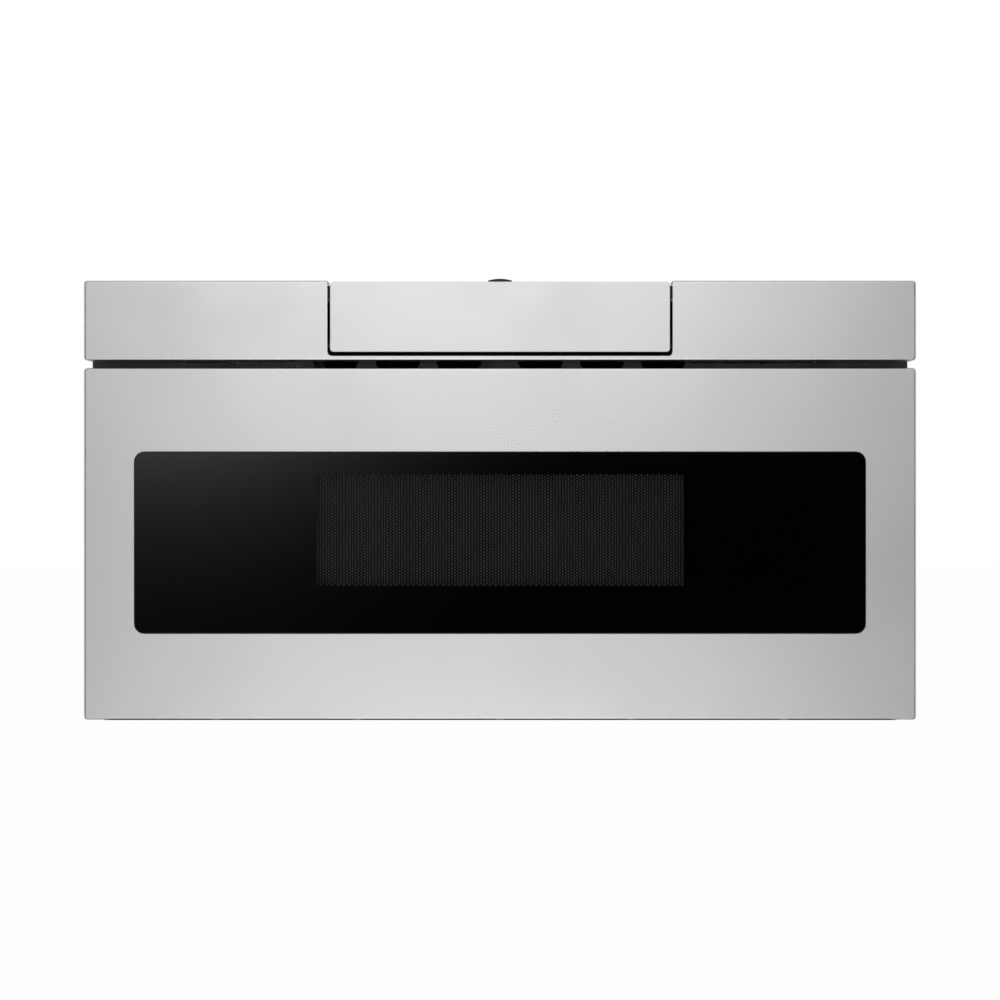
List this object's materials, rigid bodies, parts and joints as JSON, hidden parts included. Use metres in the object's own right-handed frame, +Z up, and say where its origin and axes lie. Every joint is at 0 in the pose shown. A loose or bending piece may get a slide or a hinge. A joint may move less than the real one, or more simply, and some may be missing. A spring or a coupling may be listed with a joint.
{
  "type": "microwave drawer",
  "caption": "Built-in kitchen microwave whose heated bowl slides out behind a wide stainless door, with a swing-out control panel in the strip above it.",
  "frame": {"origin": "middle of the base of the whole object: midway across, midway from front to back, at the height of the lowest edge of the door", "axes": "+X to the right seen from the front, +Y towards the wall, so the front faces -Y, +Z up"},
  "size_m": [0.759, 0.6292, 0.4024],
  "materials": {
    "stainless_steel": "fine horizontal grain, satin",
    "galvanised_steel": "dull zinc coating with a faint spangle",
    "zinc_plated_steel": "bright zinc plating",
    "grey_enamel": "baked grey enamel, satin",
    "dark_plate": "dark grey paint, satin",
    "screen_steel": "black paint on perforated sheet",
    "black_plastic": "moulded, fine matt texture",
    "acetal": "natural moulded acetal",
    "black_glass": "polished, printed black at the back",
    "clear_glass": "polished clear",
    "ceramic_glass": "smooth, slightly glossy",
    "mica_sheet": "dull mica board",
    "copper_winding": "lacquered winding",
    "core_steel": "stacked laminations, varnished",
    "circuit_board": "green solder mask"
  },
  "bodies": {
    "cabinet": {"base_pan": "galvanised_steel", "side_panel_left": "galvanised_steel", "side_panel_right": "galvanised_steel", "top_cover": "galvanised_steel", "rear_panel": "galvanised_steel", "front_frame": "dark_plate", "oven_cavity": "grey_enamel", "waveguide_cover": "mica_sheet", "stirrer_dome": "galvanised_steel", "waveguide": "galvanised_steel", "magnetron": "zinc_plated_steel", "stirrer_motor": "zinc_plated_steel", "hv_transformer": "copper_winding", "hv_capacitor": "zinc_plated_steel", "fan_shroud": "black_plastic", "fan_motor": "core_steel", "air_duct": "black_plastic", "oven_lamp": "zinc_plated_steel", "power_board": "circuit_board", "cord_gland": "black_plastic", "slide_outer_left": "zinc_plated_steel", "slide_outer_right": "zinc_plated_steel", "slide_bracket_left": "galvanised_steel", "slide_bracket_right": "galvanised_steel", "drawer_gearmotor": "dark_plate", "top_trim_panel": "stainless_steel", "control_housing": "black_plastic", "latch_bracket_left": "black_plastic", "latch_bracket_right": "black_plastic", "interlock_switch_upper": "black_plastic", "interlock_switch_lower": "black_plastic", "monitor_switch": "black_plastic"},
    "drawer": {"door_skin": "stainless_steel", "door_glass": "black_glass", "door_frame": "black_plastic", "door_bottom_trim": "black_plastic", "door_screen": "galvanised_steel", "window_mesh": "screen_steel", "choke_comb": "zinc_plated_steel", "choke_cover": "black_plastic", "inner_window": "clear_glass", "door_back_panel": "grey_enamel", "drawer_tub": "grey_enamel", "glass_tray": "ceramic_glass", "slide_inner_left": "zinc_plated_steel", "slide_inner_right": "zinc_plated_steel", "door_bracket_left": "galvanised_steel", "door_bracket_right": "galvanised_steel", "drawer_rack": "acetal", "latch_hook_left": "acetal", "latch_hook_right": "acetal"},
    "slide_middle": {"slide_middle_left": "zinc_plated_steel", "slide_middle_right": "zinc_plated_steel"},
    "pinion": {"drive_pinion": "acetal"},
    "control_panel": {"control_cover": "stainless_steel", "control_carrier": "black_plastic", "control_glass": "black_glass", "control_display": "circuit_board"},
    "stirrer": {"stirrer_blade": "zinc_plated_steel"},
    "fan": {"fan_blade": "acetal"}
  },
  "joints": [
    {"name": "drawer_slide", "type": "slide", "parent": "cabinet", "child": "drawer", "axis": [0, -1, 0], "range_m": [0, 0.381]},
    {"name": "slide_extension", "type": "slide", "parent": "cabinet", "child": "slide_middle", "axis": [0, -1, 0], "range_m": [0, 0.1905]},
    {"name": "pinion_spin", "type": "hinge", "parent": "cabinet", "child": "pinion", "pos_m": [0.2385, -0.2396, 0.0365], "axis": [1, 0, 0], "range_deg": [0, 1213]},
    {"name": "control_tilt", "type": "hinge", "parent": "cabinet", "child": "control_panel", "pos_m": [0, -0.3066, 0.341], "axis": [1, 0, 0], "range_deg": [0, 67.5]},
    {"name": "stirrer_spin", "type": "hinge", "parent": "cabinet", "child": "stirrer", "pos_m": [0, -0.0646, 0.28], "axis": [0, 0, 1], "continuous": true},
    {"name": "fan_spin", "type": "hinge", "parent": "cabinet", "child": "fan", "pos_m": [-0.1, 0.2204, 0.236], "axis": [1, 0, 0], "continuous": true}
  ],
  "couplings": [
    {"joint": "slide_extension", "follows": "drawer_slide", "ratio": 0.5},
    {"joint": "pinion_spin", "follows": "drawer_slide", "rad_per_m": 55.556}
  ]
}
